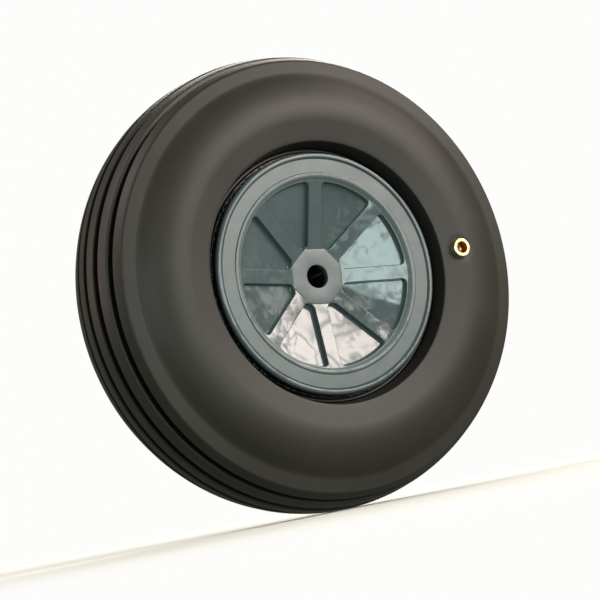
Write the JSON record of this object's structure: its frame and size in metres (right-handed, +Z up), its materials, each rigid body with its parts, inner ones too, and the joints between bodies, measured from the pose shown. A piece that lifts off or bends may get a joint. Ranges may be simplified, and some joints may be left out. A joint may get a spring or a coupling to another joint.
{
  "type": "model aircraft wheel",
  "caption": "Inflatable ribbed rubber tyre on a dished, spoked two-part nylon hub with a plain axle bore and a spring-closed brass air valve in its sidewall.",
  "frame": {"origin": "on the wheel's axis, at the middle plane of the tyre and of the axle bore", "axes": "-Y along the axis out of the front, the side with the air valve; +Y out of the rear; +Z up; +X to the right seen from the front, where the valve stands"},
  "size_m": [0.0952, 0.0326, 0.0952],
  "materials": {
    "tyre_rubber": "matt moulded rubber, warm dark grey",
    "hub_nylon": "semi-gloss moulded nylon, slate grey",
    "valve_brass": "turned brass, bright",
    "seal_rubber": "matt black rubber",
    "spring_steel": "drawn steel wire"
  },
  "bodies": {
    "wheel": {"tyre": "tyre_rubber", "front_hub": "hub_nylon", "rear_hub": "hub_nylon", "valve_body": "valve_brass", "valve_spring": "spring_steel", "valve_retainer": "valve_brass"},
    "valve_core": {"valve_poppet": "valve_brass", "valve_seal": "seal_rubber"}
  },
  "joints": [
    {"name": "valve_press", "type": "slide", "parent": "wheel", "child": "valve_core", "axis": [0, 1, 0], "range_m": [0, 0.0008], "stiffness_N_per_m": 300, "springref_m": -0.0005, "deforming": ["valve_spring"]}
  ]
}
